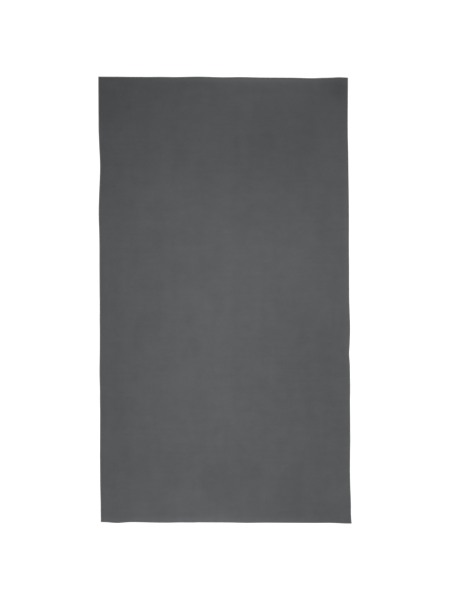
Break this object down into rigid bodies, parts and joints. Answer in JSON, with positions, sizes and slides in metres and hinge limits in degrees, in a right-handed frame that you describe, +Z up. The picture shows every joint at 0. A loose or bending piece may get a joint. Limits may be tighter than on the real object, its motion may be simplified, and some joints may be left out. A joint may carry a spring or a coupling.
{
  "type": "quick-dry towel",
  "caption": "Plain rectangular microfibre bath towel lying flat, one brushed cloth panel with self-coloured overlocked edges all round.",
  "frame": {"origin": "middle of the underside, on the surface that the towel lies on", "axes": "+Z up, out of the upper face; +Y towards the head end, along the towel's length; +X across its width"},
  "size_m": [1.004, 1.792, 0.0016],
  "materials": {
    "cloth": "brushed warp-knit microfibre, dark grey, matte suede-like nap",
    "needle_thread": "spun polyester sewing thread, dark grey",
    "looper_thread": "bulked polyester overlock thread, dark grey"
  },
  "bodies": {
    "root": {"cloth_panel": "cloth", "head_end_needle_thread": "needle_thread", "head_end_upper_looper_thread": "looper_thread", "head_end_lower_looper_thread": "looper_thread", "foot_end_needle_thread": "needle_thread", "foot_end_upper_looper_thread": "looper_thread", "foot_end_lower_looper_thread": "looper_thread", "left_side_needle_thread": "needle_thread", "left_side_upper_looper_thread": "looper_thread", "left_side_lower_looper_thread": "looper_thread", "right_side_needle_thread": "needle_thread", "right_side_upper_looper_thread": "looper_thread", "right_side_lower_looper_thread": "looper_thread"}
  },
  "joints": []
}
